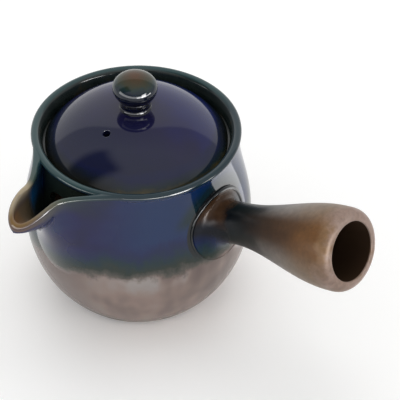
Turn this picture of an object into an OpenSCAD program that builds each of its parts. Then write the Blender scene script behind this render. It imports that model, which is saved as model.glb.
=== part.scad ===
// Side-handled teapot: a thrown pot with a gallery for its lid, a pinched spout over a pierced
// strainer, a hollow thrown handle luted on at a right angle to the spout, and a lift-off domed lid.
// The origin is on the pot's axis, in the plane that the foot stands on. +Z is up,
// +X runs along the handle and the spout points to -Y. All lengths are in millimetres.

/* [Pot] */
// Height of the rim above the table
rim_h = 85; // [78:0.5:100]
// Outer radius of the rim
rim_r = 45; // [42:0.5:47]
// Thickness of the rounded rim
rim_t = 3.4; // [2.8:0.1:4.4]
// How far the neck is drawn in under the rim
neck_in = 0.6; // [0.2:0.1:2]
// Drop from the rim to the narrowest part of the neck
neck_drop = 4.5; // [3:0.5:7]
// Radius of the belly
belly_r = 50.3; // [48:0.1:56]
// Height of the belly above the table
belly_h = 41.5; // [34:0.5:46]
// Thickness of the thrown wall
wall = 3.2; // [2.4:0.1:4]
// Height of the floor inside the pot above the table
floor_h = 5; // [4:0.5:8]
// Radius where the belly curve meets the foot
base_r = 35; // [34:0.5:38]
// Outer radius of the foot ring
foot_r = 32; // [28:0.5:33]
// Height of the foot ring
foot_h = 2; // [1.5:0.25:3]
// Width of the foot ring's flat face
foot_w = 4; // [2.5:0.5:6]

/* [Gallery] */
// Drop from the rim to the ledge that carries the lid
ledge_drop = 7; // [6:0.5:9]
// How far the gallery's wall leans in from the rim to the ledge
gallery_lean = 1.7; // [1:0.1:2.5]
// Width of the ledge
ledge_w = 5.4; // [4:0.2:7]
// Thickness of the ledge at its inner edge
ledge_t = 2.5; // [2:0.25:3.5]
// Extra thickness of the ledge where it joins the wall
ledge_root = 1.4; // [0.5:0.1:3]

/* [Lid] */
// Gap round the edge of the lid
lid_gap = 0.7; // [0.4:0.1:1.2]
// Gap between the lid and the ledge it rests on
seat_gap = 0.2; // [0.1:0.05:0.3]
// Thickness of the lid's brim
brim_t = 2.3; // [1.8:0.1:3]
// Width of the flat brim outside the dome
brim_w = 3; // [2.4:0.1:7]
// Rise of the dome above the brim
dome_rise = 15.6; // [10:0.2:22]
// Fullness of the dome, higher is flatter on top and steeper at the side
dome_power = 3; // [2:0.1:6]
// Thickness of the lid's dome
lid_wall = 3; // [2.2:0.1:4]
// Gap between the locating skirt and the throat
skirt_gap = 0.5; // [0.3:0.1:1]
// Depth of the locating skirt below the brim
skirt_depth = 4.6; // [3:0.2:8]
// Diameter of the steam vent
vent_d = 3; // [2:0.2:4]
// Distance of the vent from the lid's axis
vent_out = 19.3; // [14:0.1:24]
// Direction of the vent, from the handle's direction
vent_angle = -86; // [-180:1:180]

/* [Knob] */
// Radius of the knob at its widest
knob_r = 9.6; // [8:0.1:12]
// Height of the knob's cap above its widest level
knob_cap_h = 6.6; // [5:0.1:10]
// Height of the knob's widest level above the dome
knob_wide_h = 9.9; // [8:0.1:13]
// Radius of the knob's neck
knob_neck_r = 6.2; // [4.5:0.1:7.5]
// Height of the neck's narrowest level above the dome
knob_neck_h = 1.4; // [1:0.1:4]
// How much the neck spreads where it stands on the dome
knob_foot_flare = 0.9; // [0.4:0.1:2]

/* [Spout] */
// Reach of the spout's tip from the pot's axis
spout_reach = 75.5; // [70:0.5:86]
// Width of the spout where its lips leave the rim
spout_root_w = 46; // [40:0.5:50]
// Width of the beak
beak_w = 18.8; // [14:0.2:22]
// Height of the spout's root, from the rim to its keel
spout_root_h = 36; // [32:0.5:40]
// How far the lips stay below the rim's top
lip_drop = 0.8; // [0.5:0.1:1.5]
// How far the tip droops below the lips
tip_droop = 7.4; // [3:0.2:9]
// Depth of the beak just behind its tip
tip_depth = 2.6; // [2.2:0.1:5]
// Thickness of the spout's wall
spout_wall = 2.6; // [2:0.1:3]
// Width of the window that leads from the pot into the spout
window_w = 16; // [12:0.5:18]
// Height of the window
window_h = 17; // [12:0.5:18]
// Radius of the window's corners
window_corner = 5; // [2:0.5:6]

/* [Strainer] */
// Radius of the strainer's ball face
strainer_r = 16; // [14.5:0.5:19]
// How far the strainer bulges into the pot
strainer_bulge = 5; // [4:0.25:6.5]
// Thickness of the strainer
strainer_t = 2; // [1.6:0.1:2.4]
// Diameter of the pierced holes
hole_d = 1.8; // [1.2:0.1:2.2]
// Angle between the rings of holes, at the centre of the ball
hole_step = 10.5; // [9:0.5:12]
// Rings of holes round the middle hole
hole_rings = 3; // [2:1:3]

/* [Handle] */
// Height at which the handle's line meets the pot's axis
handle_h = 45; // [40:0.5:50]
// Upward tilt of the handle
handle_tilt = 17.2; // [8:0.2:20]
// Reach of the handle's end from the pot's axis, along its line
handle_reach = 122; // [110:0.5:140]
// Radius of the flared root
root_r = 15; // [13:0.2:16]
// Radius of the waist
waist_r = 9.2; // [8:0.1:11]
// Distance of the waist from the pot's axis, along the handle's line
waist_at = 63; // [60:0.5:70]
// Radius of the handle near its end
end_r = 17.4; // [15:0.1:20]
// Radius of the hole in the handle's end
mouth_r = 12.3; // [10:0.1:13]
// Thickness of the handle's wall at the waist
handle_wall = 3.5; // [2.6:0.1:4.5]
// Width of the luting coil round the handle's root
coil_w = 2; // [1.4:0.1:3]
// How far the luting coil stands off the pot
coil_h = 1.4; // [0.8:0.1:2]

/* [Joints] */
// Thickness of the slip that joins luted pieces
slip = 0.1; // [0.05:0.05:0.2]

/* [Hidden] */

$fn = 96;
curve_steps = 12;
inside_steps = 7;
arc_steps = 8;
glaze = [0.10, 0.10, 0.32];
clay = [0.50, 0.37, 0.30];

neck_r = rim_r - neck_in;
neck_h = rim_h - neck_drop;
rim_round = rim_t / 2;
ledge_h = rim_h - ledge_drop;
ledge_low = ledge_h - ledge_t - ledge_root;
gallery_r = rim_r - rim_t - gallery_lean;
throat_r = gallery_r - ledge_w;
belly_drop = (belly_h - foot_h) / sqrt(1 - pow(base_r / belly_r, 2));
lid_r = gallery_r - lid_gap;
brim_h = ledge_h + seat_gap;
lid_top = brim_h + brim_t;
dome_r = lid_r - brim_w;
apex_h = lid_top + dome_rise;
window_top = ledge_low - slip;
window_mid = window_top - window_h / 2;

function mix(a, b, t) = a + (b - a) * t;
function smooth(t) = let (u = min(max(t, 0), 1)) u * u * (3 - 2 * u);
function arc(c, r, a0, a1, n) = [for (i = [0:n]) c + r * [cos(mix(a0, a1, i / n)), sin(mix(a0, a1, i / n))]];

// Radius of the pot's outside at height z, from the foot to the top of the rim
function shoulder_r(z) =
    let (t = min((z - belly_h) / (neck_h - belly_h), 1))
    belly_r - (belly_r - neck_r) * pow(sin(90 * t), 2);
function rim_edge_r(z) = rim_r - rim_round + sqrt(max(0, pow(rim_round, 2) - pow(z - rim_h + rim_round, 2)));
function skin_r(z) =
    z < belly_h ? belly_r * sqrt(1 - pow((belly_h - z) / belly_drop, 2))
    : z < neck_h ? shoulder_r(z)
    : z < rim_h - rim_round ? mix(neck_r, rim_r, (z - neck_h) / (neck_drop - rim_round))
    : rim_edge_r(z);

// Belly curve from the height low up to the belly, drawn in by inset
function belly_pts(low, inset, steps) =
    let (a = asin((belly_h - low) / (belly_drop - inset)))
    [for (i = [0:steps])
        let (b = a * (1 - i / steps))
        [(belly_r - inset) * cos(b), belly_h - (belly_drop - inset) * sin(b)]];
// Shoulder curve from the belly up to the height top, drawn in by inset
function shoulder_pts(top, inset, steps) =
    [for (i = [1:steps])
        let (z = mix(belly_h, top, i / steps))
        [shoulder_r(z) - inset, z]];

outside_pts = concat(belly_pts(foot_h, 0, curve_steps), shoulder_pts(neck_h, 0, curve_steps));
inside_pts = concat(belly_pts(floor_h, wall, inside_steps), shoulder_pts(ledge_low, wall, inside_steps),
    [[throat_r, ledge_h - ledge_t]]);
rim_pts = arc([rim_r - rim_round, rim_h - rim_round], rim_round, 0, 180, arc_steps);
foot_pts = [[foot_r - foot_w, 0], [foot_r, 0], [foot_r, foot_h]];

// The pot's outside as one solid, grown by gap, without its rim
module pot_skin(gap) {
    rotate_extrude()
        polygon(concat([[0, foot_h]], [for (p = outside_pts) p + [gap, 0]], [[0, neck_h]]));
}

// The hollow of the pot below the ledge, shrunk by gap
module pot_hollow(gap) {
    rotate_extrude()
        polygon(concat([[0, floor_h + gap]], [for (p = inside_pts) p - [gap, p.y > belly_h ? gap : -gap]],
            [[0, ledge_h - ledge_t - gap]]));
}

// Rounded window cut through the wall behind the spout
module pour_window() {
    inset = window_corner;
    translate([0, 0, window_mid])
        rotate([90, 0, 0])
            linear_extrude(belly_r + wall) {
                square([window_w - 2 * inset, window_h], center = true);
                square([window_w, window_h - 2 * inset], center = true);
                for (x = [-1, 1], y = [-1, 1])
                    translate([x * (window_w / 2 - inset), y * (window_h / 2 - inset)])
                        circle(inset);
            }
}

module pot_body() {
    color(glaze)
        difference() {
            rotate_extrude()
                polygon(concat([[0, foot_h], [foot_r - foot_w, foot_h]], foot_pts, outside_pts, rim_pts,
                    [[gallery_r, ledge_h], [throat_r, ledge_h]],
                    [for (i = [len(inside_pts) - 1:-1:0]) inside_pts[i]], [[0, floor_h]]));
            pour_window();
        }
}

// Spout: half width, lip height and keel height at t from the root, 0, to the tip, 1.
// The lips flow out of the rim, run level to beak_from and droop to the rounded tip.
beak_from = 0.42;
flare_power = 1.8;
tip_power = 2.5;
keel_power = 2;
section_power = 0.8;
askew = 1.8;
least_half = 0.2;
least_depth = 0.5;
function flare(t) = pow(max(1 - t / beak_from, 0), flare_power);
function half_width(t) =
    let (round_off = sqrt(1 - pow(max(t - beak_from, 0) / (1 - beak_from), tip_power)))
    mix(beak_w, spout_root_w, flare(t)) / 2 * round_off;
function lip_h(t) = rim_h - lip_drop - tip_droop * pow(max(t - beak_from, 0) / (1 - beak_from), 2);
function keel_h(t) =
    let (tip = rim_h - lip_drop - tip_droop - tip_depth)
    tip - (tip - rim_h + spout_root_h) * pow(1 - t, keel_power);

// Point of the trough at t along the spout and a round its section, from one lip over the keel to the other.
// The walls run askew where they flare out of the pot, so there they are drawn in further.
function trough_pt(t, a, inset) =
    let (
        w = max(half_width(t) - inset * mix(1, askew, flare(t)), least_half),
        x = w * cos(a),
        z = mix(lip_h(t), min(keel_h(t) + inset, lip_h(t) - least_depth), pow(sin(a), section_power)),
        y_root = sqrt(pow(skin_r(z) + slip, 2) - x * x),
        y = mix(y_root, spout_reach - inset, t)
    )
    [x, -y, z];
// Top of the lip, midway between the two faces of its wall
function lip_pt(t, a) = (trough_pt(t, a, 0) + trough_pt(t, a, spout_wall)) / 2 + [0, 0, lip_drop];

module spout() {
    rows = 26;
    cols = 20;
    last_row = 0.998;
    row_crowding = 0.9;
    ring = 2 * cols + 4;
    function row_t(i) = last_row * sin(90 * pow(i / rows, row_crowding));
    function section(t) = concat(
        [for (j = [0:cols]) trough_pt(t, 180 * j / cols, 0)], [lip_pt(t, 180)],
        [for (j = [cols:-1:0]) trough_pt(t, 180 * j / cols, spout_wall)], [lip_pt(t, 0)]);
    points = [for (i = [0:rows]) each section(row_t(i))];
    function in_id(j) = 2 * cols + 2 - j;
    root = [for (j = [0:cols - 1]) [j, j + 1, in_id(j + 1), in_id(j)]];
    root_lips = [[cols, cols + 1, cols + 2], [0, in_id(0), ring - 1]];
    sides = [for (i = [0:rows - 1], k = [0:ring - 1])
        let (n = (k + 1) % ring, a = i * ring)
        each [[a + k, a + ring + k, a + ring + n], [a + k, a + ring + n, a + n]]];
    e = rows * ring;
    tip_out = [for (j = [0:cols / 2 - 1]) [e + cols - j, e + cols - j - 1, e + j + 1, e + j]];
    tip_in = [for (j = [0:cols / 2 - 1])
        [e + in_id(j), e + in_id(j + 1), e + in_id(cols - j - 1), e + in_id(cols - j)]];
    tip_lip = [[e, e + ring - 1, e + cols + 1, e + cols],
        [e + ring - 1, e + in_id(0), e + cols + 2, e + cols + 1]];
    color(glaze)
        polyhedron(points, concat(root, root_lips, sides, tip_out, tip_in, tip_lip));
}

// Pierced ball strainer, luted on the inside of the wall over the window
module spout_strainer() {
    wall_r = skin_r(window_top) - wall;
    centre = [0, -(wall_r - strainer_bulge + strainer_r), window_mid];
    color(clay)
        difference() {
            intersection() {
                translate(centre) sphere(strainer_r);
                pot_hollow(slip);
            }
            translate(centre) sphere(strainer_r - strainer_t);
            for (k = [0:hole_rings], i = [0:max(6 * k, 1) - 1])
                translate(centre)
                    rotate([-90, 0, 0])
                        rotate([0, 0, 60 * i / max(k, 1)])
                            rotate([0, hole_step * k, 0])
                                translate([0, 0, strainer_r - 2 * strainer_t])
                                    cylinder(d = hole_d, h = 3 * strainer_t, $fn = 24);
        }
}

// Place a shape that runs along +Z on the handle's line
module on_handle_line() {
    translate([0, 0, handle_h])
        rotate([0, 90 - handle_tilt, 0])
            children();
}

// Where the handle's line leaves the pot, found by a few steps along the line
function leave_x(x, n) = n == 0 ? x : leave_x(skin_r(handle_h + x * tan(handle_tilt)), n - 1);
leave_at = leave_x(belly_r, 3) / cos(handle_tilt);
// Depth inside the pot's skin at which the flare is widest
root_sink = 1.5;
root_at = leave_at - root_sink;
handle_start = root_at / 2;
lip_round = (end_r - mouth_r) / 2;
lip_at = handle_reach - lip_round;
function flare_r(s) = waist_r + (root_r - waist_r) * pow((waist_at - s) / (waist_at - root_at), 2);
function grip_r(s, low, high) = mix(low, high, smooth((s - waist_at) / (lip_at - waist_at - 2 * lip_round)));
flare_pts = concat([[root_r, handle_start]],
    [for (i = [0:arc_steps]) let (s = mix(root_at, waist_at, i / arc_steps)) [flare_r(s), s]]);

module handle() {
    inner_r = waist_r - handle_wall;
    grip = [for (i = [1:curve_steps]) mix(waist_at, lip_at, i / curve_steps)];
    outer = [for (s = grip) [grip_r(s, waist_r, end_r), s]];
    inner = [for (i = [curve_steps - 1:-1:0]) [grip_r(grip[i], inner_r, mouth_r), grip[i]]];
    lip = arc([end_r - lip_round, lip_at], lip_round, 0, 180, arc_steps);
    color(clay)
        difference() {
            on_handle_line()
                rotate_extrude()
                    polygon(concat(flare_pts, outer, lip, inner,
                        [[inner_r, waist_at], [inner_r, handle_start]]));
            pot_skin(slip);
        }
}

// Coil of clay pressed round the handle's root, which shows as a raised seam
module handle_luting_coil() {
    color(glaze)
        difference() {
            intersection() {
                pot_skin(slip + coil_h);
                on_handle_line()
                    cylinder(r = root_r + slip + coil_w, h = handle_reach);
            }
            pot_skin(slip);
            on_handle_line()
                rotate_extrude()
                    polygon(concat([[0, handle_start]], [for (p = flare_pts) p + [slip, 0]],
                        [[0, waist_at]]));
        }
}

// Height of a dome curve of rise and foot radius r0 at radius r
function dome_h(r, r0, rise) = lid_top + rise * (1 - pow(r / r0, dome_power));

module lid() {
    edge = brim_t / 2;
    skirt_r = throat_r - skirt_gap;
    hollow_r = min(dome_r, skirt_r) - lid_wall;
    hollow_rise = dome_rise - lid_wall;
    outer = [for (i = [0:curve_steps])
        let (r = dome_r * sin(90 * i / curve_steps)) [r, dome_h(r, dome_r, dome_rise)]];
    inner = [for (i = [curve_steps:-1:0])
        let (r = hollow_r * sin(90 * i / curve_steps)) [r, dome_h(r, hollow_r, hollow_rise)]];
    brim = arc([lid_r - edge, brim_h + edge], edge, 90, -90, arc_steps);
    skirt = [[skirt_r, brim_h], [skirt_r, brim_h - skirt_depth], [hollow_r, brim_h - skirt_depth]];
    vent_slope = atan(dome_rise * dome_power / dome_r * pow(vent_out / dome_r, dome_power - 1));
    color(glaze)
        difference() {
            rotate_extrude()
                polygon(concat(outer, brim, skirt, inner));
            rotate([0, 0, vent_angle])
                translate([vent_out, 0, dome_h(vent_out, dome_r, dome_rise)])
                    rotate([0, vent_slope, 0])
                        cylinder(d = vent_d, h = 4 * lid_wall, center = true, $fn = 32);
        }
}

module lid_knob() {
    base = apex_h + slip;
    neck = apex_h + knob_neck_h;
    widest = apex_h + knob_wide_h;
    foot = [for (i = [0:arc_steps])
        let (t = i / arc_steps)
        [knob_neck_r + knob_foot_flare * pow(1 - t, 2), mix(base, neck, t)]];
    taper = [for (i = [1:curve_steps])
        let (t = i / curve_steps)
        [mix(knob_neck_r, knob_r, smooth(t)), mix(neck, widest, t)]];
    cap = [for (i = [1:curve_steps])
        let (a = 90 * i / curve_steps)
        [knob_r * cos(a), widest + knob_cap_h * sin(a)]];
    color(glaze)
        rotate_extrude()
            polygon(concat([[0, base]], foot, taper, cap));
}

pot_body();
spout();
spout_strainer();
handle();
handle_luting_coil();
lid();
lid_knob();
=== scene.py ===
"""Looks of a side-handled teapot: a dipped cobalt glaze over brown stoneware, in the CAD's own frame.

Sizes are in millimetres, as a potter would measure them, and become metres when a mesh is made.
+Z is up, +X runs along the handle and the spout points to -Y.
"""
import math

import bpy
import bmesh
import numpy as np
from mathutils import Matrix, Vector


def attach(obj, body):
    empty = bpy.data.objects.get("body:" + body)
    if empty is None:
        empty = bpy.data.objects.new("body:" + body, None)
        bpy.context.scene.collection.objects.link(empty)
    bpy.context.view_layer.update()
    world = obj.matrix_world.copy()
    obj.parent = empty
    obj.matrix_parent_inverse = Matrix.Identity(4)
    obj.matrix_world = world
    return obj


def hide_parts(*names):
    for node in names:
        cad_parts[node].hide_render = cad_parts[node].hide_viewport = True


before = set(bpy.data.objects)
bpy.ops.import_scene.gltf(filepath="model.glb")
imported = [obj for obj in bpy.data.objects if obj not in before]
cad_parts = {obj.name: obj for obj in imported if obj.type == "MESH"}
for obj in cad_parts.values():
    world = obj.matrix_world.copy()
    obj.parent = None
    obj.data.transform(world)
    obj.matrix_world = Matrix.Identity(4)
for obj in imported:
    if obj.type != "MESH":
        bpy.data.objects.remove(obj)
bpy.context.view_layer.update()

# Sizes of the pot
RIM_H, RIM_R, RIM_T = 85.0, 45.0, 3.4
NECK_IN, NECK_DROP, NECK_REACH = 0.9, 4.5, 1.9
BELLY_R, BELLY_H, BASE_R = 50.3, 41.5, 35.0
WALL, FLOOR_H = 3.2, 5.0
FOOT_R, FOOT_H, FOOT_W = 32.0, 2.0, 4.0
MOUTH_WIDE, MOUTH_PULL, MOUTH_WAY = 0.3, 2.2, math.radians(-42.0)
PULL_FROM_H, PULL_FULL_H, PULL_NEAR, PULL_FAR = 52.0, 80.0, 47.0, 62.0
WAVER_SHARE = 0.0016
LEDGE_DROP, GALLERY_LEAN, LEDGE_W, LEDGE_T, LEDGE_ROOT = 7.0, 1.7, 5.4, 2.5, 1.4
WINDOW_W, WINDOW_H, WINDOW_CORNER = 18.0, 17.0, 5.0
# Sizes of the lid and its knob
LID_GAP, SEAT_GAP, BRIM_T = 0.7, 0.2, 1.4
APEX_H, DOME_POWER, EDGE_TURN, LID_WALL = 96.1, 3.0, 38.0, 3.0
HOLLOW_H, HOLLOW_DROP = 93.1, 12.6
SKIRT_GAP, SKIRT_DEPTH = 0.5, 4.6
VENT_D, VENT_OUT, VENT_ANGLE, VENT_FLARE, VENT_SINK = 3.0, 19.3, -86.0, 0.7, 0.6
KNOB_R, KNOB_CAP_H, KNOB_WIDE_H, KNOB_NECK_R, KNOB_NECK_H = 9.6, 6.6, 9.9, 6.2, 1.4
KNOB_SPREAD, KNOB_SINK = 1.0, 0.3
# Sizes of the spout
SPOUT_REACH, BEAK_FROM, BEAK_HALF, SPOUT_WALL = 75.5, 57.8, 9.4, 2.6
LIP_H, TIP_DROOP, TIP_KEEL, KEEL_DROP = 83.7, 7.4, 74.6, 6.8
LIP_STATION, KEEL_STATION, LIP_ROUND, SPOUT_SINK = 60.0, 67.0, 1.2, 0.3
# Sizes of the handle
HANDLE_H, HANDLE_TILT, HANDLE_REACH = 45.0, math.radians(17.2), 122.0
ROOT_R, WAIST_R, WAIST_AT, END_R, HANDLE_WALL = 15.6, 9.2, 63.0, 17.5, 3.5
ROOT_SAG, ROOT_SINK, ROOT_EDGE = 3.0, 0.8, 0.5
END_DEEP, END_FULLNESS, HOLE_R, HOLE_EDGE, BORE_FROM = 5.5, 0.8, 12.5, 0.4, 49.5
COIL_OUT, COIL_WIDE, COIL_HIGH = 0.75, 1.05, 0.95
COIL_SHARE, COIL_SWING, COIL_TURN = 0.66, 0.34, 0.9

NECK_R, NECK_H, RIM_ROUND = RIM_R - NECK_IN, RIM_H - NECK_DROP, RIM_T / 2
LEDGE_H = RIM_H - LEDGE_DROP
LEDGE_LOW = LEDGE_H - LEDGE_T - LEDGE_ROOT
GALLERY_R = RIM_R - RIM_T - GALLERY_LEAN
THROAT_R = GALLERY_R - LEDGE_W
BELLY_DROP = (BELLY_H - FOOT_H) / math.sqrt(1 - (BASE_R / BELLY_R) ** 2)
LID_R = GALLERY_R - LID_GAP
BRIM_H = LEDGE_H + SEAT_GAP
LID_TOP = BRIM_H + BRIM_T
WINDOW_MID = LEDGE_LOW - WINDOW_H / 2
HANDLE_DIR = np.array([math.cos(HANDLE_TILT), 0, math.sin(HANDLE_TILT)])
HANDLE_UP = np.array([-math.sin(HANDLE_TILT), 0, math.cos(HANDLE_TILT)])
SIDE = np.array([0.0, 1.0, 0.0])
# The flame licked the handle from the spout's side, 48 degrees above level; this is the way across it
FLAME = math.radians(48.0)
FLAME_EDGE = math.sin(FLAME) * SIDE + math.cos(FLAME) * HANDLE_UP
# The camera stands this far round from +X towards the spout. Directions of the surroundings are told
# from there: towards the camera, to its right and up
CAMERA_SIDE = math.radians(49.4)
FLOOR_GLOW, WINDOW_GLOW = 0.12, 18.0


def mix(a, b, t):
    return a + (b - a) * t


def smooth(t):
    t = np.clip(t, 0, 1)
    return t * t * (3 - 2 * t)


def unit(v):
    return v / np.linalg.norm(v, axis=-1, keepdims=True)


def skin_r(z):
    """Radius of the pot's outside at height z, from the foot to the rim."""
    belly = BELLY_R * np.sqrt(np.clip(1 - ((BELLY_H - z) / BELLY_DROP) ** 2, 0, 1))
    rise = np.clip((z - BELLY_H) / (NECK_H - BELLY_H), 0, 1)
    shoulder = BELLY_R - (BELLY_R - NECK_R) * np.sin(math.pi / 2 * rise) ** 2
    flare = NECK_IN * smooth((z - RIM_H + RIM_ROUND + NECK_REACH) / NECK_REACH)
    return np.where(z < BELLY_H, belly, shoulder + flare)


def curve(xs, ys):
    return list(zip(np.asarray(xs, float), np.asarray(ys, float)))


def arc(cx, cy, r, start, end, steps):
    a = np.radians(np.linspace(start, end, steps))
    return curve(cx + r * np.cos(a), cy + r * np.sin(a))


def soften(points, corners, steps=8):
    """Rounds a profile at some of its points: corners gives the rounding in millimetres by point number."""
    out = []
    for i, p in enumerate(points):
        if i not in corners:
            out.append(p)
            continue
        p, before, after = (np.array(q, float) for q in (p, points[i - 1], points[(i + 1) % len(points)]))
        reach = corners[i]
        start = p + (before - p) * min(reach / np.linalg.norm(before - p), 0.5)
        end = p + (after - p) * min(reach / np.linalg.norm(after - p), 0.5)
        for t in np.linspace(0, 1, steps):
            out.append(tuple(start * (1 - t) ** 2 + 2 * p * t * (1 - t) + end * t * t))
    return out


def pulled(points):
    """Opens the pot's mouth a little, most between spout and handle, as hands pulled it out of round. Points
    near the mouth follow it, so that the lid still fits."""
    radius = np.hypot(points[:, 0], points[:, 1])
    turn = np.arctan2(points[:, 1], points[:, 0])
    wide = MOUTH_WIDE + MOUTH_PULL * np.maximum(np.cos(turn - MOUTH_WAY), 0) ** 2
    high = smooth((points[:, 2] - PULL_FROM_H) / (PULL_FULL_H - PULL_FROM_H))
    near = 1 - smooth((radius - PULL_NEAR) / (PULL_FAR - PULL_NEAR))
    share = high * np.minimum(radius / RIM_R, 1) * near
    grow = 1 + wide * share / np.maximum(radius, 1e-6)
    return points * np.stack([grow, grow, np.ones(len(points))], -1)


def piece(name, points, faces, body, slot, *nodes, **marks):
    """A smooth mesh from points in millimetres, which rides on a body and stands for CAD nodes.
    Each mark gives every point a share between 0 and 1 that the materials read by its name."""
    mesh = bpy.data.meshes.new(name)
    mesh.from_pydata((pulled(np.asarray(points)) * 0.001).tolist(), [], faces)
    for mark, shares in marks.items():
        mesh.attributes.new(mark, "FLOAT", "POINT").data.foreach_set("value", np.asarray(shares, np.float32))
    made = bmesh.new()
    made.from_mesh(mesh)
    bmesh.ops.remove_doubles(made, verts=made.verts, dist=2e-6)
    bmesh.ops.recalc_face_normals(made, faces=made.faces)
    made.to_mesh(mesh)
    made.free()
    obj = bpy.data.objects.new(name, mesh)
    bpy.context.scene.collection.objects.link(obj)
    shade(obj)
    if body:
        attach(obj, body)
        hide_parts(*nodes)
    return obj


def shade(obj):
    obj.data.shade_smooth()
    obj.data.set_sharp_from_angle(angle=math.radians(42))


def revolve(profile, turns):
    """Points and faces of a closed profile of radius and height, turned about Z."""
    profile = np.array(profile, float)
    a = np.linspace(0, 2 * math.pi, turns, endpoint=False)
    rings = [np.stack([r * np.cos(a), r * np.sin(a), np.full(turns, z)], -1) for r, z in profile]
    return np.concatenate(rings), skin_faces(len(profile), turns, True, True)


def skin_faces(rows, cols, wrap_rows, wrap_cols):
    """Faces between neighbouring rows of points."""
    faces = []
    for i in range(rows if wrap_rows else rows - 1):
        for j in range(cols if wrap_cols else cols - 1):
            i2, j2 = (i + 1) % rows, (j + 1) % cols
            faces.append((i * cols + j, i * cols + j2, i2 * cols + j2, i2 * cols + j))
    return faces


def hand_thrown(points):
    """Lets a turned form waver by about a tenth of a millimetre, as hands leave it."""
    turn = np.arctan2(points[:, 1], points[:, 0])
    waver = np.sin(2 * turn + points[:, 2] / 14) + 0.6 * np.sin(5 * turn - points[:, 2] / 9)
    grow = 1 + WAVER_SHARE * waver
    return points * np.stack([grow, grow, np.ones(len(points))], -1)


def carve(obj, cutter):
    """Cuts one mesh out of another, dissolves the slivers that this leaves and removes the cutter."""
    cut = obj.modifiers.new("cut", "BOOLEAN")
    cut.object, cut.operation, cut.solver = cutter, "DIFFERENCE", "EXACT"
    done = bpy.data.meshes.new_from_object(obj.evaluated_get(bpy.context.evaluated_depsgraph_get()))
    obj.modifiers.remove(cut)
    made = bmesh.new()
    made.from_mesh(done)
    bmesh.ops.triangulate(made, faces=[face for face in made.faces if len(face.verts) > 4])
    bmesh.ops.dissolve_degenerate(made, dist=1e-5, edges=made.edges)
    made.to_mesh(done)
    made.free()
    obj.data = done
    bpy.data.objects.remove(cutter)
    shade(obj)


def bezier(p0, p1, p2, p3, steps):
    """Rows of points along many cubic curves at once."""
    t = np.linspace(0, 1, steps)[:, None, None]
    return p0 * (1 - t) ** 3 + 3 * p1 * t * (1 - t) ** 2 + 3 * p2 * t * t * (1 - t) + p3 * t ** 3


def make_pot():
    """The thrown pot: foot ring, belly, neck, rounded rim, gallery, throat and hollow, and the window."""
    belly_z = np.linspace(FOOT_H, BELLY_H, 60)
    shoulder_z = np.linspace(BELLY_H, RIM_H - RIM_ROUND, 110)[1:]
    inner_z = np.linspace(LEDGE_LOW, FLOOR_H + 2.2, 70)[3:]
    foot = [(0, FOOT_H), (FOOT_R - FOOT_W - 1, FOOT_H), (FOOT_R - FOOT_W, 0), (FOOT_R, 0),
            (FOOT_R + 0.4, FOOT_H - 0.2), (float(skin_r(FOOT_H)), FOOT_H)]
    foot = soften(foot, {1: 0.8, 2: 0.6, 3: 0.8, 4: 0.8})
    outside = curve(skin_r(belly_z), belly_z) + curve(skin_r(shoulder_z), shoulder_z)
    rim = arc(RIM_R - RIM_ROUND, RIM_H - RIM_ROUND, RIM_ROUND, 0, 90, 13)[1:]
    t = np.linspace(0, math.pi / 2, 24)[1:]
    crest = RIM_R - RIM_ROUND
    rim += curve(crest - (crest - GALLERY_R) * np.sin(t), LEDGE_H + LEDGE_DROP * np.cos(t))
    gallery = [rim[-2], rim[-1], (THROAT_R, LEDGE_H), (THROAT_R, LEDGE_H - LEDGE_T)]
    gallery += [(float(skin_r(z)) - WALL, z) for z in (LEDGE_LOW, LEDGE_LOW - 4)]
    gallery = soften(gallery, {2: 0.8, 3: 0.8, 4: 2.5})
    inside = curve(skin_r(inner_z) - WALL, inner_z)
    floor = soften([inside[-1], (inside[-1][0] - 2.5, FLOOR_H), (0, FLOOR_H)], {1: 2.4})
    points, faces = revolve(foot[:-1] + outside + rim + gallery[2:-1] + inside + floor[1:], 280)
    obj = piece("pot_body_glazed", hand_thrown(points), faces, "pot", "cobalt_glaze", "pot_body")
    across, up = WINDOW_W / 2 - WINDOW_CORNER, WINDOW_H / 2 - WINDOW_CORNER
    outline = []
    for x, y, start in ((1, 1, 0), (-1, 1, 90), (-1, -1, 180), (1, -1, 270)):
        outline += arc(x * across, y * up, WINDOW_CORNER, start, start + 90, 9)
    rows = [[(x, -y, WINDOW_MID + z) for x, z in outline] for y in (25, BELLY_R + WALL)]
    count = len(outline)
    ends = [tuple(range(count)), tuple(range(2 * count - 1, count - 1, -1))]
    faces = skin_faces(2, count, False, True) + ends
    carve(obj, piece("window_cutter", np.concatenate(rows), faces, None, None))
    return obj


def on_skin(x, z):
    """Points just under the pot's skin on the spout's side."""
    return np.stack([x, -np.sqrt((skin_r(z) - SPOUT_SINK) ** 2 - x * x), z], -1)


def beak(y, a, half, reach, raised, bow):
    """Points of the beak at y, round its section from one lip over the keel to the other."""
    t = np.clip((-y - BEAK_FROM) / (reach - BEAK_FROM), 0, 1)
    out = np.clip((-y - BEAK_FROM) / (SPOUT_REACH - BEAK_FROM), 0, 1)
    lip = LIP_H - TIP_DROOP * out ** 2
    keel = np.minimum(TIP_KEEL - KEEL_DROP * (1 - out) ** 1.3 + raised, lip - 0.3)
    x = half * np.sqrt(1 - t ** 2.5) * np.cos(a)
    return np.stack([x, y + 0 * x, lip - (lip - keel) * np.sin(a) ** bow], -1)


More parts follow.
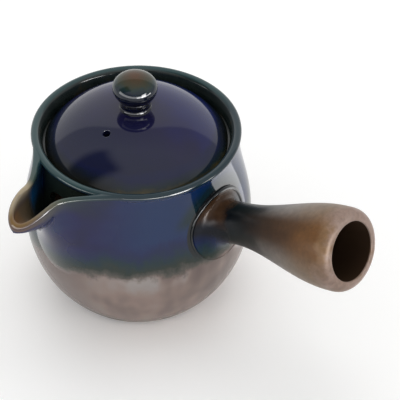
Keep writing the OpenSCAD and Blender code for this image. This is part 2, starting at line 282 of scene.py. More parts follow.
def trough(root_half, squareness, root_low, askew, lead, half, reach, raised, bow, cols):
    """One face of the spout. It leaves the pot along a line on its skin, askew of it by the side and by
    the keel, draws in to the beak, sooner at its lips than at its keel, and closes at the tip."""
    a = np.linspace(0, math.pi, cols)
    low = np.sin(a)
    x = root_half * np.sign(np.cos(a)) * np.abs(np.cos(a)) ** squareness
    z = LIP_H - (LIP_H - root_low) * low ** 0.85
    root = on_skin(x, z)
    inward = unit(on_skin(0.9 * x, mix(LIP_H, z, 0.9)) - root)
    leave = unit(inward + mix(*askew, low)[:, None] * unit(root * [1, 1, 0]))
    station = -mix(LIP_STATION, KEEL_STATION, low)
    first, ahead = (beak(station + back, a, half, reach, raised, bow) for back in (0.0, -0.2))
    behind = first - unit(ahead - first) * mix(*lead[1], low)[:, None]
    behind[:, 2] = mix(LIP_H, behind[:, 2], low)
    flare = bezier(root, root + leave * lead[0], behind, first, 36)
    t = np.sin(np.linspace(0, math.pi / 2, 30))[1:, None]
    return np.concatenate([flare, beak(mix(station, -reach, t), a, half, reach, raised, bow)])


def make_spout():
    """The pinched spout: an outer and an inner trough joined by rounded lips."""
    cols, round_steps = 61, 7
    outer = trough(root_half=27.0, squareness=1.0, root_low=35.0, askew=(0.12, 0.35),
                   lead=(11.0, (7.0, 13.0)), half=BEAK_HALF, reach=SPOUT_REACH,
                   raised=0.0, bow=0.8, cols=cols)
    inner = trough(root_half=15.4, squareness=0.6, root_low=52.0, askew=(1.2, 2.0),
                   lead=(5.0, (9.0, 9.0)), half=BEAK_HALF - SPOUT_WALL, reach=SPOUT_REACH - SPOUT_WALL,
                   raised=2.0, bow=1.5, cols=cols)
    a = np.linspace(0, math.pi, round_steps + 2)[1:-1, None, None]
    lips = []
    for side in (-1, 0):
        far, near = outer[:, side], inner[:, side]
        width = np.linalg.norm(far - near, axis=-1, keepdims=True)
        up = np.minimum(width / 2, LIP_ROUND) * [0, 0, 1]
        lips.append((far + near) / 2 + np.cos(a) * (far - near) / 2 + np.sin(a) * up)
    loops = []
    for k in range(len(outer)):
        loops.append(np.concatenate([outer[k], lips[0][:, k], inner[k][::-1], lips[1][::-1, k]]))
    ring = len(loops[0])
    faces = skin_faces(len(loops), ring, False, True)
    root = []
    for j in range(cols - 1):
        inner_j = 2 * cols + round_steps - 1 - j
        root.append((j, j + 1, inner_j - 1, inner_j))
    root.append(tuple(range(cols - 1, cols + round_steps + 1)))
    root.append((0, 2 * cols + round_steps - 1) + tuple(range(2 * cols + round_steps, ring)))
    # Shares for the glaze: how far it breaks over the lips, and how far a point lies in the channel
    rows = len(loops)
    low = np.sin(np.linspace(0, math.pi, cols))
    bend = np.sin(np.linspace(0, math.pi, round_steps + 2)[1:-1])
    into = np.linspace(0, 1, round_steps)
    away = smooth(np.arange(rows) / 34)[:, None]
    flank = 0.6 * smooth(1 - low / 0.4) * away
    over = np.tile(np.maximum(bend, 0.9 * into), (rows, 1))
    fade = np.tile(0.9 * smooth(1 - low / 0.6), (rows, 1))
    lip = np.concatenate([flank, over, fade, over[:, ::-1]], axis=1)
    hollow = np.concatenate([np.zeros(cols), into, np.ones(cols), into[::-1]])
    return piece("spout_glazed", np.concatenate(loops), faces + root, "pot", "cobalt_glaze", "spout",
                 lip=lip.ravel(), inside=np.tile(hollow, rows))


def handle_point(s, r, angle):
    """Points at s along the handle's line and r from it, all round."""
    radial = np.cos(angle)[:, None] * SIDE + np.sin(angle)[:, None] * HANDLE_UP
    on_line = np.array([0, 0, HANDLE_H]) + np.asarray(s)[..., None] * HANDLE_DIR
    return on_line + np.asarray(r)[..., None] * radial


def handle_foot(r, out, angle):
    """Points of the pot's skin at a distance r from the handle's line, standing out from it."""
    low, high = np.full(len(angle), 30.0), np.full(len(angle), 75.0)
    for _ in range(40):
        mid = (low + high) / 2
        p = handle_point(mid, np.full(len(angle), r), angle) - ROOT_SAG * HANDLE_UP
        inside = np.hypot(p[:, 0], p[:, 1]) < skin_r(p[:, 2]) + out
        low, high = np.where(inside, mid, low), np.where(inside, high, mid)
    return handle_point(low, np.full(len(angle), r), angle) - ROOT_SAG * HANDLE_UP


def grip_r(s, low, high):
    """Radius of the grip at s, which widens from the waist to the end."""
    return mix(low, high, smooth((s - WAIST_AT) / (HANDLE_REACH - END_DEEP - 2 - WAIST_AT)))


def make_handle():
    """The hollow trumpet handle: its root spreads along the pot's skin and its end rounds in to its hole."""
    turns = 160
    angle = np.linspace(0, 2 * math.pi, turns, endpoint=False)
    end_at = HANDLE_REACH - END_DEEP
    sunk = handle_foot(ROOT_R + 0.3, -ROOT_SINK, angle)
    edge = handle_foot(ROOT_R, ROOT_EDGE, angle)
    nearer = handle_foot(ROOT_R - 0.6, ROOT_EDGE, angle)
    waist = handle_point(np.full(turns, WAIST_AT), np.full(turns, WAIST_R), angle)
    span = np.linalg.norm(waist - edge, axis=-1, keepdims=True)
    leave, arrive = edge + unit(nearer - edge) * span * 0.42, waist - HANDLE_DIR * span * 0.5
    flare = bezier(edge, leave, arrive, waist, 30)
    s = np.linspace(WAIST_AT, end_at, 70)[1:]
    profile = curve(grip_r(s, WAIST_R, END_R), s)
    a = np.linspace(0, math.pi / 2, 24)[1:]
    edge_r = HOLE_R + HOLE_EDGE
    end_r = mix(edge_r, END_R, np.cos(a) ** END_FULLNESS)
    profile += curve(end_r, end_at + END_DEEP * np.sin(a) ** END_FULLNESS)
    profile += arc(edge_r, HANDLE_REACH - HOLE_EDGE, HOLE_EDGE, 90, 180, 6)[1:]
    outer = 1 + len(flare) + len(profile)
    inner_r = WAIST_R - HANDLE_WALL
    profile += [(HOLE_R, HANDLE_REACH - 2 * HOLE_EDGE)]
    profile += curve(grip_r(s, inner_r, HOLE_R)[::-1], s[::-1])
    profile += [(inner_r, WAIST_AT), (inner_r, BORE_FROM)]
    rings = [handle_point(np.full(turns, at), np.full(turns, r), angle) for r, at in profile]
    rows = [sunk] + list(flare) + rings
    inside = np.repeat([0.0] * outer + [1.0] * (len(rows) - outer), turns)
    return piece("handle_clay", np.concatenate(rows), skin_faces(len(rows), turns, True, True),
                 "pot", "fired_clay", "handle", inside=inside)


def make_coil():
    """The luting coil: a bead pressed round the handle's root, thinner towards its underside."""
    turns, round_steps = 200, 14
    angle = np.linspace(0, 2 * math.pi, turns, endpoint=False)
    centre = handle_foot(ROOT_R + COIL_OUT, 0.1, angle)
    along = unit(np.roll(centre, -1, 0) - np.roll(centre, 1, 0))
    out = unit(handle_foot(ROOT_R + COIL_OUT, 1.1, angle) * [1, 1, 0])
    across = unit(np.cross(along, out))
    out = np.cross(across, along)
    thick = (COIL_SHARE + COIL_SWING * np.sin(angle + COIL_TURN))[:, None]
    rows = []
    for a in np.linspace(0, 2 * math.pi, round_steps, endpoint=False):
        rows.append(centre + thick * (COIL_WIDE * math.cos(a) * across + COIL_HIGH * math.sin(a) * out))
    faces = skin_faces(round_steps, turns, True, True)
    return piece("handle_luting_coil_glazed", np.concatenate(rows), faces, "pot", "cobalt_glaze",
                 "handle_luting_coil")


def dome_h(r, apex, drop, foot_r):
    """Height of a dome at radius r, which drops from its apex to its foot."""
    return apex - drop * (r / foot_r) ** DOME_POWER


def make_lid():
    """The lid: a full dome that runs to a thin rounded edge, a locating skirt under it and a steam vent."""
    edge = BRIM_T / 2
    skirt_r = THROAT_R - SKIRT_GAP
    hollow_r = skirt_r - LID_WALL
    rounded = arc(LID_R - edge, BRIM_H + edge, edge, EDGE_TURN, -90, 15)
    foot_r, foot_h = rounded[0]
    outer = (APEX_H, APEX_H - foot_h, foot_r)
    r = foot_r * np.sin(np.linspace(0, math.pi / 2, 80))[:-1]
    inner = hollow_r * np.sin(np.linspace(math.pi / 2, 0, 50))
    profile = curve(r, dome_h(r, *outer)) + rounded
    skirt = [(LID_R - edge, BRIM_H), (skirt_r, BRIM_H), (skirt_r, BRIM_H - SKIRT_DEPTH),
             (hollow_r, BRIM_H - SKIRT_DEPTH), (hollow_r, LID_TOP)]
    profile += soften(skirt, {1: 0.5, 2: 0.9, 3: 0.9})[1:-1]
    profile += curve(inner, dome_h(inner, HOLLOW_H, HOLLOW_DROP, hollow_r))
    points, faces = revolve(profile, 288)
    obj = piece("lid_glazed", hand_thrown(points), faces, "lid", "cobalt_glaze", "lid")
    slope = math.atan(DOME_POWER * (APEX_H - foot_h) / foot_r * (VENT_OUT / foot_r) ** (DOME_POWER - 1))
    hole = VENT_D / 2
    flare = [(hole + VENT_FLARE * (k / 6) ** 2, VENT_FLARE * k / 6 - VENT_SINK) for k in range(7)]
    points, faces = revolve([(0, -8), (hole, -8)] + flare + [(hole + VENT_FLARE, 3), (0, 3)], 48)
    lean, rise = math.cos(slope), math.sin(slope)
    tilt = np.array([[lean, 0, rise], [0, 1, 0], [-rise, 0, lean]])
    turn = math.radians(VENT_ANGLE)
    spin = np.array([[math.cos(turn), -math.sin(turn), 0], [math.sin(turn), math.cos(turn), 0], [0, 0, 1]])
    placed = (points @ tilt.T + [VENT_OUT, 0, dome_h(VENT_OUT, *outer)]) @ spin.T
    carve(obj, piece("vent_cutter", placed, faces, None, None))
    return obj


def make_knob():
    """The turned knob: a rounded cap that tapers below its widest level to a neck with a spread foot."""
    base, neck, widest = APEX_H - KNOB_SINK, APEX_H + KNOB_NECK_H, APEX_H + KNOB_WIDE_H
    t = np.linspace(0, 1, 12)
    foot = curve(KNOB_NECK_R + KNOB_SPREAD * (1 - t) ** 2, mix(base, neck, t))
    t = np.linspace(0, 1, 40)[1:]
    taper = curve(mix(KNOB_NECK_R, KNOB_R, smooth(t)), mix(neck, widest, t))
    a = np.linspace(0, math.pi / 2, 40)[1:]
    cap = curve(KNOB_R * np.cos(a), widest + KNOB_CAP_H * np.sin(a))
    points, faces = revolve([(0, base)] + foot + taper + cap, 160)
    return piece("lid_knob_glazed", hand_thrown(points), faces, "lid", "cobalt_glaze", "lid_knob")


# Materials

def rgb(code):
    """An sRGB hex colour as a linear one."""
    parts = [int(code[i:i + 2], 16) / 255 for i in (1, 3, 5)]
    return [c / 12.92 if c <= 0.04045 else ((c + 0.055) / 1.055) ** 2.4 for c in parts] + [1.0]


def put(tree, kind, inputs, out=0, stops=(), **settings):
    """Adds a node and gives one of its outputs, or the node itself if it has none. Inputs are its sockets
    by name or number, each a value or a link. Settings are its choices, and stops are a ramp's colours by
    their places."""
    node = tree.nodes.new("ShaderNode" + kind)
    for key, value in settings.items():
        setattr(node, key, value)
    for key, value in inputs.items():
        if isinstance(value, bpy.types.NodeSocket):
            tree.links.new(value, node.inputs[key])
        else:
            node.inputs[key].default_value = value
    for _ in stops[2:]:
        node.color_ramp.elements.new(0.5)
    for k, (at, colour) in enumerate(stops):
        node.color_ramp.elements[k].position = at
        node.color_ramp.elements[k].color = rgb(colour)
    return node.outputs[out] if node.outputs else node


def start(name):
    """A new material: its node tree, the place on the piece in millimetres, and that place's x, y and z."""
    made = bpy.data.materials.new(name)
    made.use_nodes = True
    tree = made.node_tree
    tree.nodes.clear()
    place = put(tree, "TexCoord", {}, out="Object")
    mm = put(tree, "VectorMath", {0: place, "Scale": 1000.0}, operation="SCALE")
    x, y, z = put(tree, "SeparateXYZ", {0: mm}).node.outputs
    return made, tree, mm, (x, y, z)


def finish(tree, colour, roughness, relief, strength, depth, gloss=0.5):
    """Ends a material with a coat of glass, IOR 1.5, over a faintly uneven surface. Depth is in millimetres,
    and gloss below a half is for bare clay, which mirrors less."""
    normal = put(tree, "Bump", {"Strength": strength, "Distance": depth / 1000, "Height": relief})
    shader = put(tree, "BsdfPrincipled", {"Base Color": colour, "Roughness": roughness, "IOR": 1.5,
                                          "Specular IOR Level": gloss, "Normal": normal})
    put(tree, "OutputMaterial", {"Surface": shader})


def zones(tree, length, stops):
    """Colours that change along a length, by places in millimetres."""
    low, high = stops[0][0] - 1.0, stops[-1][0] + 1.0
    share = put(tree, "MapRange", {"Value": length, 1: low, 2: high})
    places = [((at - low) / (high - low), colour) for at, colour in stops]
    return put(tree, "ValToRGB", {"Fac": share}, stops=places)


def overlap(tree, *steps):
    """How far a place lies within all of some soft steps. A step is a length, where it counts nothing and
    where it counts in full."""
    whole = None
    for length, none, full in steps:
        share = put(tree, "MapRange", {"Value": length, 1: none, 2: full}, interpolation_type="SMOOTHSTEP")
        whole = put(tree, "Math", {0: whole, 1: share}, operation="MULTIPLY") if whole else share
    return whole


def dipped(tree, mm, x, z):
    """Colours of a glaze dip, the wandering height that they follow, about 11 mm above z, and its mottle.

    Below the edge lies a thin mauve-brown wash in patches about 19 mm wide, with streaks of about 8 mm.
    At the edge the glaze is dark green, feathered by runs about 3 mm wide and a mottle of about 9 mm, then
    teal, and cobalt blue where it is thick, in swells about 24 mm wide."""
    upright = put(tree, "VectorMath", {0: mm, 1: (1.0, 1.0, 0.16)}, operation="MULTIPLY")
    swells = put(tree, "TexNoise", {"Vector": mm, "Scale": 1 / 24, "Detail": 2.0})
    runs = put(tree, "TexNoise", {"Vector": upright, "Scale": 1 / 3, "Detail": 4.0, "Roughness": 0.6})
    streaks = put(tree, "TexNoise", {"Vector": upright, "Scale": 1 / 8, "Detail": 1.0})
    mottle = put(tree, "TexNoise", {"Vector": mm, "Scale": 1 / 9, "Detail": 6.0, "Roughness": 0.64})
    height = put(tree, "Math", {0: x, 1: -0.085, 2: z}, operation="MULTIPLY_ADD")
    sag = overlap(tree, (x, -14.0, -34.0))
    height = put(tree, "Math", {0: sag, 1: 6.0, 2: height}, operation="MULTIPLY_ADD")
    for swing, reach in ((swells, 9.0), (runs, 3.0), (mottle, 11.0)):
        height = put(tree, "Math", {0: swing, 1: reach, 2: height}, operation="MULTIPLY_ADD")
    patches = put(tree, "TexNoise", {"Vector": mm, "Scale": 1 / 19, "Detail": 2.0})
    patches = put(tree, "Math", {0: streaks, 1: 0.5, 2: patches}, operation="MULTIPLY_ADD")
    wash = put(tree, "ValToRGB", {"Fac": put(tree, "MapRange", {"Value": patches, 1: 0.4, 2: 1.1})}, stops=[
        (0.1, "#70605c"), (0.4, "#817069"), (0.6, "#917d75"), (0.8, "#97877f"), (0.95, "#948b8c")])
    pale = overlap(tree, (height, 40.0, 48.0), (patches, 0.7, 0.9), (x, 14.0, 32.0))
    wash = put(tree, "Mix", {0: pale, 6: wash, 7: rgb("#9f9793")}, out=2, data_type="RGBA")
    # Painted shade: the wash is painted darker on the spout's side of the pot
    spout_side_shade = overlap(tree, (x, 24.0, 2.0))
    spout_side_shade = put(tree, "Math", {0: spout_side_shade, 1: 0.75}, operation="MULTIPLY")
    wash = put(tree, "Mix", {0: spout_side_shade, 6: wash, 7: rgb("#6d605c")}, out=2, data_type="RGBA")
    edge = zones(tree, height, [
        (49, "#776963"), (52, "#524f49"), (54.5, "#263029"),
        (58, "#0f2c34"), (61.5, "#0c2246"), (66, "#10154c")])
    blue = put(tree, "ValToRGB", {"Fac": swells}, stops=[
        (0.36, "#0b0c3a"), (0.5, "#10134c"), (0.66, "#122452")])
    sea = overlap(tree, (x, 16.0, 38.0))
    blue = put(tree, "Mix", {0: sea, 6: blue, 7: rgb("#0c2c5a")}, out=2, data_type="RGBA")
    covered = overlap(tree, (height, 48.0, 51.5))
    colour = put(tree, "Mix", {0: covered, 6: wash, 7: edge}, out=2, data_type="RGBA")
    deep = overlap(tree, (height, 62.0, 69.0))
    colour = put(tree, "Mix", {0: deep, 6: colour, 7: blue}, out=2, data_type="RGBA")
    return colour, height, mottle


def cobalt_dip():
    """Cobalt glaze dipped over brown stoneware to below the belly, and fired glossy.

    It pools dark teal round the handle's root. Round the luting coil it is nearly black, painted shade in
    the crease over pooled glaze. It breaks to grey-green on the rim and to golden brown at the beak, and the
    spout's left lip is painted lighter as a highlight. It is dark in the gallery and in the spout's channel,
    whose golden brown towards the tip is partly painted highlight, with teal on the channel's left wall
    painted brighter as light.
    A thin brown wash lines the chamber."""
    made, tree, mm, (x, y, z) = start("cobalt_glaze_dipped_on_stoneware")
    colour, height, mottle = dipped(tree, mm, x, z)
    level = put(tree, "VectorMath", {0: mm, 1: (1.0, 1.0, 0.0)}, operation="MULTIPLY")
    radius = put(tree, "VectorMath", {0: level}, out=1, operation="LENGTH")
    across = put(tree, "Math", {0: x}, operation="ABSOLUTE")
    from_foot = put(tree, "VectorMath", {0: mm, 1: (0, 0, HANDLE_H - ROOT_SAG)}, operation="SUBTRACT")
    off_line = put(tree, "VectorMath", {0: from_foot, 1: tuple(HANDLE_DIR)}, operation="CROSS_PRODUCT")
    off_line = put(tree, "VectorMath", {0: off_line}, out=1, operation="LENGTH")
    pool = overlap(tree, (off_line, 26.0, 20.0), (x, 10.0, 20.0), (z, 61.0, 67.0))
    colour = put(tree, "Mix", {0: pool, 6: colour, 7: rgb("#0b2832")}, out=2, data_type="RGBA")
    # Painted shade over pooled glaze: the crease round the luting coil and the coil itself are nearly black
    crease_shade_and_pool = overlap(tree, (off_line, 18.8, 17.8), (x, 10.0, 20.0), (z, 44.0, 52.0))
    colour = put(tree, "Mix", {0: crease_shade_and_pool, 6: colour, 7: rgb("#081014")}, out=2, data_type="RGBA")
    lip = put(tree, "Attribute", {}, out="Fac", attribute_name="lip")
    rim = overlap(tree, (z, RIM_H - 2.4, RIM_H - 0.9))
    rim = put(tree, "Math", {0: rim, 1: lip}, operation="MAXIMUM")
    breaking = zones(tree, y, [(-76, "#83653c"), (-66, "#6e6450"), (-54, "#3c4b43"), (-46, "#30484a")])
    # Painted highlight: the spout's left lip is painted lighter grey-gold than its glaze
    thin_glaze_and_painted_light = overlap(tree, (x, -3.0, -7.0), (y, -54.0, -60.0))
    breaking = put(tree, "Mix", {0: thin_glaze_and_painted_light, 6: breaking, 7: rgb("#a89a80")}, out=2, data_type="RGBA")
    thick = overlap(tree, (x, 6.0, 28.0))
    breaking = put(tree, "Mix", {0: thick, 6: breaking, 7: rgb("#182e36")}, out=2, data_type="RGBA")
    colour = put(tree, "Mix", {0: rim, 6: colour, 7: breaking}, out=2, data_type="RGBA")
    dark = put(tree, "ValToRGB", {"Fac": mottle}, stops=[
        (0.3, "#121b1b"), (0.55, "#1f2827"), (0.72, "#3d3324")])
    gallery = overlap(tree, (radius, RIM_R - RIM_T + 1.0, RIM_R - RIM_T), (z, 66.0, 70.0))
    from_belly = put(tree, "VectorMath", {0: mm, 1: (0, 0, BELLY_H)}, operation="SUBTRACT")
    belly = (1 / BELLY_R, 1 / BELLY_R, 1 / BELLY_DROP)
    from_belly = put(tree, "VectorMath", {0: from_belly, 1: belly}, operation="MULTIPLY")
    within = put(tree, "VectorMath", {0: from_belly}, out=1, operation="LENGTH")
    chamber = overlap(tree, (within, 0.995, 0.98), (z, 70.0, 66.0), (z, FOOT_H, FLOOR_H - 1.0))
    colour = put(tree, "Mix", {0: gallery, 6: colour, 7: dark}, out=2, data_type="RGBA")
    washed = put(tree, "ValToRGB", {"Fac": mottle}, stops=[(0.3, "#3a2c21"), (0.7, "#56402f")])
    colour = put(tree, "Mix", {0: chamber, 6: colour, 7: washed}, out=2, data_type="RGBA")
    behind = overlap(tree, (across, 14.5, 13.0), (y, -36.0, -40.0), (radius, 48.5, 47.5),
                     (z, RIM_H - 1.4, RIM_H - 2.8), (z, 60.0, 63.0))
    inside = put(tree, "Attribute", {}, out="Fac", attribute_name="inside")
    channel = put(tree, "Math", {0: behind, 1: inside}, operation="MAXIMUM")
    bare = put(tree, "Math", {0: 1.0, 1: rim}, operation="SUBTRACT")
    channel = put(tree, "Math", {0: channel, 1: bare}, operation="MULTIPLY")
    # Golden brown towards the tip where the glaze breaks, painted lighter there as a highlight
    outward = put(tree, "Math", {0: mottle, 1: 5.0, 2: y}, operation="MULTIPLY_ADD")
    trough = zones(tree, outward, [
        (-73, "#a8784c"), (-69, "#7c5c3e"), (-64, "#5e5040"),
        (-58, "#4e4536"), (-50, "#2e3830"), (-45, "#26302b")])
    # Teal glaze on the channel's left wall, painted brighter as light where the channel lies in shade
    left = overlap(tree, (x, -4.0, -9.0), (y, -61.0, -55.0), (inside, 0.5, 0.9), (z, 67.0, 76.0))
    trough = put(tree, "Mix", {0: left, 6: trough, 7: rgb("#10568a")}, out=2, data_type="RGBA")
    colour = put(tree, "Mix", {0: channel, 6: colour, 7: trough}, out=2, data_type="RGBA")
    rough = put(tree, "MapRange", {"Value": height, 1: 49.0, 2: 56.0, 3: 0.2, 4: 0.06})
    finish(tree, colour, rough, mottle, strength=0.04, depth=0.5)
    return made


def cobalt_lid():
    """The same cobalt glaze over the dome, duller towards the spout. At the edge it is nearly black, on the
    handle's side it thins there to golden brown, and the underside is brown."""
    made, tree, mm, (x, y, z) = start("cobalt_glaze_on_lid")
    mottle = put(tree, "TexNoise", {"Vector": mm, "Scale": 1 / 5, "Detail": 4.0, "Roughness": 0.6})
    swells = put(tree, "TexNoise", {"Vector": mm, "Scale": 1 / 18, "Detail": 2.0})
    towards = put(tree, "Math", {0: swells, 1: 40.0, 2: y}, operation="MULTIPLY_ADD")
    blue = zones(tree, towards, [(0, "#141834"), (18, "#17153a"), (30, "#13154a"), (45, "#131c50")])
    level = put(tree, "VectorMath", {0: mm, 1: (1.0, 1.0, 0.0)}, operation="MULTIPLY")
    radius = put(tree, "VectorMath", {0: level}, out=1, operation="LENGTH")
    reach = put(tree, "Math", {0: mottle, 1: 3.0, 2: radius}, operation="MULTIPLY_ADD")
    dark = zones(tree, reach, [(35.5, "#10163c"), (38.0, "#0c1526"), (40.5, "#12140f")])
    gold = zones(tree, reach, [(38.0, "#10173c"), (40.2, "#14242a"), (41.3, "#39361f"), (42.3, "#6b5430")])
    handle_side = overlap(tree, (x, 12.0, 24.0), (y, 24.0, 12.0))
    thin_glaze_and_painted_light = put(tree, "Mix", {0: handle_side, 6: dark, 7: gold}, out=2, data_type="RGBA")
    edge = overlap(tree, (reach, 34.5, 37.0))
    colour = put(tree, "Mix", {0: edge, 6: blue, 7: thin_glaze_and_painted_light}, out=2, data_type="RGBA")
    under = overlap(tree, (z, BRIM_H + 0.6, BRIM_H - 0.4), (radius, 10.0, 20.0))
    colour = put(tree, "Mix", {0: under, 6: colour, 7: rgb("#4a3a2c")}, out=2, data_type="RGBA")
    finish(tree, colour, 0.06, mottle, strength=0.03, depth=0.5)
    return made


def cobalt_knob():
    """Cobalt glaze that ran off the top of the knob: brown clay shows there. Below its widest level it is
    nearly black blue.
    """
    made, tree, mm, (_, _, z) = start("cobalt_glaze_run_off_knob")
    mottle = put(tree, "TexNoise", {"Vector": mm, "Scale": 1 / 3, "Detail": 4.0, "Roughness": 0.6})
    level = put(tree, "VectorMath", {0: mm, 1: (1.0, 1.0, 0.0)}, operation="MULTIPLY")
    radius = put(tree, "VectorMath", {0: level}, out=1, operation="LENGTH")
    reach = put(tree, "Math", {0: mottle, 1: 4.0, 2: radius}, operation="MULTIPLY_ADD")
    top = zones(tree, reach, [
        (3, "#4a2c0e"), (6, "#3c2d15"), (8.5, "#2c2e1c"), (10, "#1c2e2c"), (11.5, "#0b1a2c")])
    height = put(tree, "Math", {0: mottle, 1: 3.0, 2: z}, operation="MULTIPLY_ADD")
    widest = APEX_H + KNOB_WIDE_H
    cap = overlap(tree, (height, widest + 0.5, widest + 3.5))
    colour = put(tree, "Mix", {0: cap, 6: rgb("#04081c"), 7: top}, out=2, data_type="RGBA")
    finish(tree, colour, 0.07, mottle, strength=0.04, depth=0.4)
    return made


def flashed_clay():
    """Brown stoneware wiped nearly bare and flashed by the kiln: satin, dark orange-brown where the flame
    licked it, greyer to either side, pinkish at the end. Its root carries the pot's dip below, smoke above
    that and brown clay on top. Its waist is nearly black, and its bore is dull."""
    made, tree, mm, (x, _, z) = start("flashed_stoneware_of_handle")
    grain = put(tree, "TexNoise", {"Vector": mm, "Scale": 1 / 2.2, "Detail": 5.0, "Roughness": 0.65})
    dip = dipped(tree, mm, x, z)[0]
    from_foot = put(tree, "VectorMath", {0: mm, 1: (0, 0, HANDLE_H)}, operation="SUBTRACT")
    along = put(tree, "VectorMath", {0: from_foot, 1: tuple(HANDLE_DIR)}, out=1, operation="DOT_PRODUCT")
    across = put(tree, "VectorMath", {0: from_foot, 1: tuple(FLAME_EDGE)}, out=1, operation="DOT_PRODUCT")
    girth = put(tree, "MapRange", {"Value": along, 1: WAIST_AT, 2: HANDLE_REACH - 5.0, 3: WAIST_R, 4: END_R},
                interpolation_type="SMOOTHSTEP")
    share = put(tree, "Math", {0: across, 1: girth}, operation="DIVIDE")
    drift = put(tree, "TexNoise", {"Vector": mm, "Scale": 1 / 9, "Detail": 6.0, "Roughness": 0.6})
    wander = put(tree, "Math", {0: drift, 1: 16.0, 2: along}, operation="MULTIPLY_ADD")
    side = zones(tree, wander, [
        (70, "#060c12"), (78, "#0c0e0d"), (84, "#1e1711"), (92, "#36281c"), (102, "#432e1c"),
        (113, "#553718"), (122, "#6b4722"), (127, "#846648"), (130.5, "#9a8478")])
    edges = zones(tree, wander, [
        (72, "#0a1414"), (80, "#0e1411"), (86, "#2c2b28"), (93, "#5d5955"), (102, "#766e67"),
        (113, "#776757"), (122, "#78624d"), (127, "#866f62"), (130.5, "#9c867b")])
    off_flame = put(tree, "Math", {0: share, 1: 0.1}, operation="ADD")
    off_flame = put(tree, "Math", {0: off_flame}, operation="ABSOLUTE")
    greyer = overlap(tree, (off_flame, 0.25, 0.8))
    clay = put(tree, "Mix", {0: greyer, 6: side, 7: edges}, out=2, data_type="RGBA")
    brown = overlap(tree, (z, 62.0, 68.0))
    smoked = overlap(tree, (z, 53.0, 60.0))
    root = put(tree, "Mix", {0: smoked, 6: dip, 7: rgb("#10131c")}, out=2, data_type="RGBA")
    root = put(tree, "Mix", {0: brown, 6: root, 7: rgb("#432f20")}, out=2, data_type="RGBA")
    grip = overlap(tree, (wander, 63.0, 71.0))
    colour = put(tree, "Mix", {0: grip, 6: root, 7: clay}, out=2, data_type="RGBA")
    speck = put(tree, "MapRange", {"Value": grain, 1: 0.3, 2: 0.7, 3: 0.84, 4: 1.16})
    colour = put(tree, "Mix", {0: 1.0, 6: colour, 7: speck}, out=2, data_type="RGBA", blend_type="MULTIPLY")
    hollow = put(tree, "Attribute", {}, out="Fac", attribute_name="inside")
    # Painted shade: the bore is painted dark brown
    colour = put(tree, "Mix", {0: hollow, 6: colour, 7: rgb("#33251a")}, out=2, data_type="RGBA")
    rough = put(tree, "MapRange", {"Value": wander, 1: 66.0, 2: 88.0, 3: 0.26, 4: 0.38})
    sheen = put(tree, "MapRange", {"Value": wander, 1: 66.0, 2: 88.0, 3: 0.2, 4: 0.32})
    rough = put(tree, "Mix", {0: hollow, 2: rough, 3: 0.85})
    sheen = put(tree, "Mix", {0: hollow, 2: sheen, 3: 0.06})
    finish(tree, colour, rough, grain, strength=0.1, depth=0.4, gloss=sheen)
    return made


def bare_stoneware():
    """Brown stoneware with a thin clear wash, as inside the pot: a dull sheen over speckled clay."""
    made, tree, mm, _ = start("washed_stoneware_of_strainer")
    grain = put(tree, "TexNoise", {"Vector": mm, "Scale": 1 / 2, "Detail": 4.0})
    colour = put(tree, "ValToRGB", {"Fac": grain}, stops=[(0.3, "#3a2c21"), (0.7, "#56402f")])
    finish(tree, colour, 0.35, grain, strength=0.15, depth=0.3)
    return made


def wear(material, *objects):
    """Gives some objects one material."""
    for obj in objects:
        obj.data.materials.clear()
        obj.data.materials.append(material)


# Stage: a pale floor in a white light tent, in metres

def make_floor():
    """White paper, seen a little brighter than it is lit, as an overexposed background is."""
    mesh = bpy.data.meshes.new("floor")
    size = 6.0
    corners = [(-size, -size, 0), (size, -size, 0), (size, size, 0), (-size, size, 0)]
    mesh.from_pydata(corners, [], [(0, 1, 2, 3)])
    obj = bpy.data.objects.new("floor", mesh)
    bpy.context.scene.collection.objects.link(obj)
    made = bpy.data.materials.new("white_paper_floor")
    made.use_nodes = True
    tree = made.node_tree
    tree.nodes.clear()
    path = put(tree, "LightPath", {}).node.outputs
    seen = put(tree, "Math", {0: path["Is Camera Ray"], 1: FLOOR_GLOW}, operation="MULTIPLY")
    glow = put(tree, "Emission", {"Strength": seen})
    paper = put(tree, "BsdfDiffuse", {"Color": rgb("#fbfbfa")})
    put(tree, "OutputMaterial", {"Surface": put(tree, "AddShader", {0: paper, 1: glow})})
    wear(made, obj)


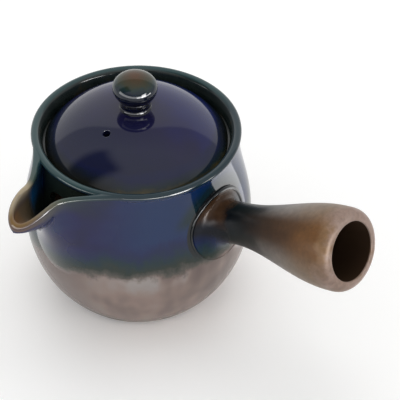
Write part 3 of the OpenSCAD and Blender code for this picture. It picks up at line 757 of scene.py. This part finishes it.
def make_world():
    """White all round. Shiny things mirror a bright backdrop, a dimmer room with a dark door at its left, a
    window at the right of the camera, a low one nearer to it and a faint wide one behind both."""
    world = bpy.data.worlds.new("light_tent")
    bpy.context.scene.world = world
    world.use_nodes = True
    tree = world.node_tree
    tree.nodes.clear()
    way = put(tree, "TexCoord", {}, out="Generated")
    turned = put(tree, "VectorRotate", {"Vector": way, "Angle": CAMERA_SIDE}, rotation_type="Z_AXIS")
    to_camera, to_right, up = put(tree, "SeparateXYZ", {0: turned}).node.outputs
    right = overlap(tree, (up, 0.02, 0.08), (up, 0.48, 0.43), (to_camera, 0.05, 0.15), (to_right, 0.5, 0.6),
                    (to_right, 0.84, 0.78))
    front = overlap(tree, (up, 0.02, 0.08), (up, 0.4, 0.3), (to_camera, 0.05, 0.15), (to_right, 0.84, 0.78))
    low = overlap(tree, (up, 0.01, 0.04), (up, 0.17, 0.12), (to_camera, 0.05, 0.15), (to_right, 0.5, 0.6))
    right = put(tree, "Math", {0: right, 1: low}, operation="MAXIMUM")
    windows = put(tree, "Math", {0: front, 1: 0.3, 2: right}, operation="MULTIPLY_ADD")
    sill = overlap(tree, (up, 0.02, 0.08), (up, 0.3, 0.2), (to_camera, 0.2, 0.4), (to_right, 0.05, 0.3),
                   (to_right, 0.85, 0.75))
    windows = put(tree, "Math", {0: sill, 1: 0.9, 2: windows}, operation="MULTIPLY_ADD")
    tent = put(tree, "MapRange", {"Value": to_camera, 1: -0.55, 2: 0.0, 3: 0.66, 4: 0.95})
    tent = put(tree, "Mix", {0: overlap(tree, (to_camera, 0.1, 0.5), (up, 0.75, 0.35)), 2: tent, 3: 0.3})
    door = overlap(tree, (to_right, -0.12, -0.42), (up, 0.2, 0.42), (up, 0.97, 0.85),
                   (to_camera, -0.16, 0.02), (to_camera, 0.52, 0.34))
    tent = put(tree, "Mix", {0: door, 2: tent, 3: 0.12})
    tent = put(tree, "Mix", {0: overlap(tree, (to_camera, -0.53, -0.58)), 2: tent, 3: 1.15})
    strength = put(tree, "Math", {0: windows, 1: WINDOW_GLOW, 2: tent}, operation="MULTIPLY_ADD")
    mirrored = put(tree, "Background", {"Strength": strength})
    soft = put(tree, "Background", {"Color": (1, 1, 1, 1), "Strength": 0.75})
    seen = put(tree, "Background", {"Color": (1, 1, 1, 1), "Strength": 1.0})
    path = put(tree, "LightPath", {}).node.outputs
    shader = put(tree, "MixShader", {0: path["Is Glossy Ray"], 1: soft, 2: mirrored})
    shader = put(tree, "MixShader", {0: path["Is Camera Ray"], 1: shader, 2: seen})
    put(tree, "OutputWorld", {"Surface": shader})


def make_lamp(name, at, aim, size, power, mirrored):
    """A square lamp that only lights things, or one that only shiny things mirror."""
    data = bpy.data.lights.new(name, "AREA")
    data.shape, data.size, data.size_y, data.energy = "RECTANGLE", size[0], size[1], power
    obj = bpy.data.objects.new(name, data)
    bpy.context.scene.collection.objects.link(obj)
    obj.location = at
    obj.rotation_mode = "QUATERNION"
    obj.rotation_quaternion = (Vector(aim) - Vector(at)).to_track_quat("-Z", "Y")
    obj.visible_camera = False
    obj.visible_glossy = mirrored
    obj.visible_diffuse = not mirrored


def make_camera():
    """The photograph's view: 40.6 degrees above the table, between the handle and the spout."""
    data = bpy.data.cameras.new("camera")
    data.sensor_width, data.lens = 36.0, 171.0
    obj = bpy.data.objects.new("camera", data)
    bpy.context.scene.collection.objects.link(obj)
    at, aim = Vector((0.43809, -0.46904, 0.59206)), Vector((0.03424, 0.0023, 0.061))
    obj.location = at
    obj.rotation_mode = "QUATERNION"
    obj.rotation_quaternion = (aim - at).to_track_quat("-Z", "Y")
    bpy.context.scene.camera = obj


make_camera()
pot, spout, handle, coil = make_pot(), make_spout(), make_handle(), make_coil()
lid, knob = make_lid(), make_knob()
wear(cobalt_dip(), pot, spout, coil)
wear(cobalt_lid(), lid)
wear(cobalt_knob(), knob)
wear(flashed_clay(), handle)
wear(bare_stoneware(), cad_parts["spout_strainer"])
make_floor()
make_world()
make_lamp("overhead_softbox", (-0.8, 0.9, 3.2), (0, 0, 0), (3.0, 3.0), 34.0, False)
make_lamp("white_card", (0.1, 0.095, 0.002), (0.1, 0.095, 1.0), (0.1, 0.1), 0.042, True)
bpy.context.scene.view_settings.view_transform = "Standard"
